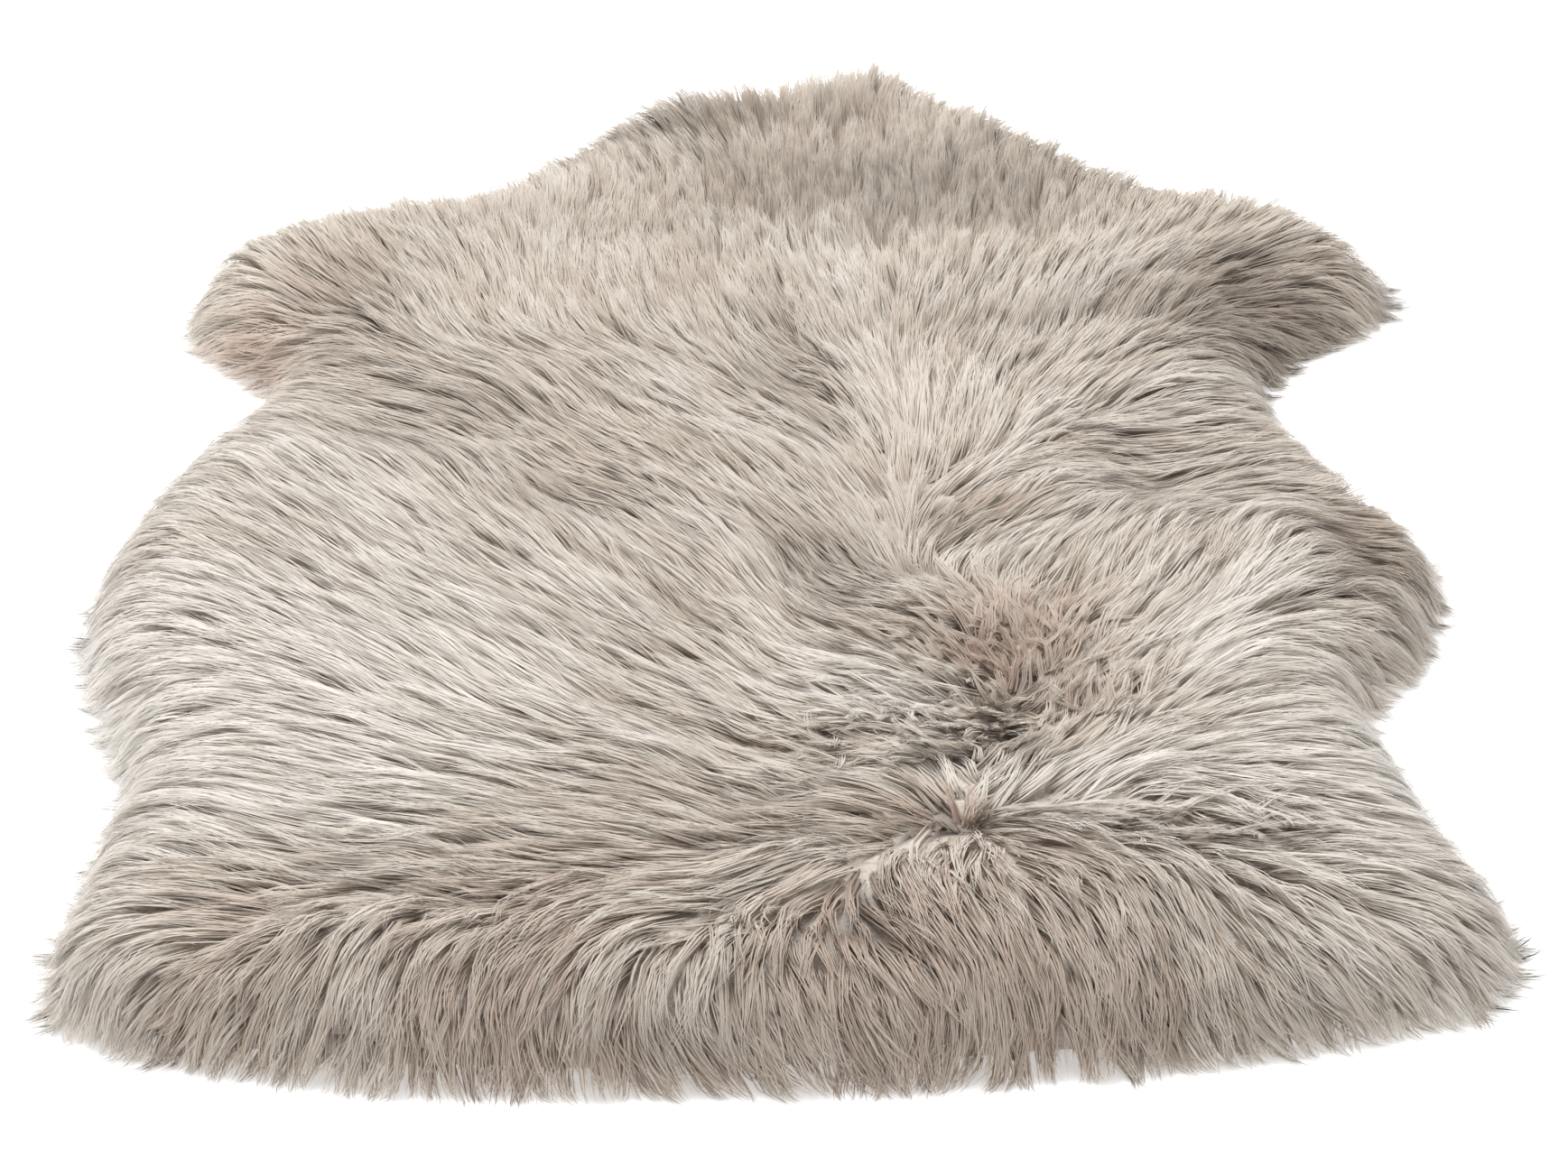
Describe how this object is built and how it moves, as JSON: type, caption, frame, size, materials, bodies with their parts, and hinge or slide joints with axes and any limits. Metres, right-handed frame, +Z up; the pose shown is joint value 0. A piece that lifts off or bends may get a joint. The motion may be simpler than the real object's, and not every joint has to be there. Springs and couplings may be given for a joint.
{
  "type": "sheepskin rug",
  "caption": "Whole sheepskin rug with long soft wool, lying flat with the wool up, in the outline of the skin: neck, forelegs, belly, hind legs and rump.",
  "frame": {"origin": "middle of the rug's box, on the surface it lies on", "axes": "+Y from the rump to the neck, +X to the right seen from the rump, +Z up out of the wool"},
  "size_m": [0.6684, 1, 0.0582],
  "materials": {
    "wool": "matte",
    "hide": "matte"
  },
  "bodies": {
    "root": {"sheepskin": "wool"}
  },
  "joints": []
}
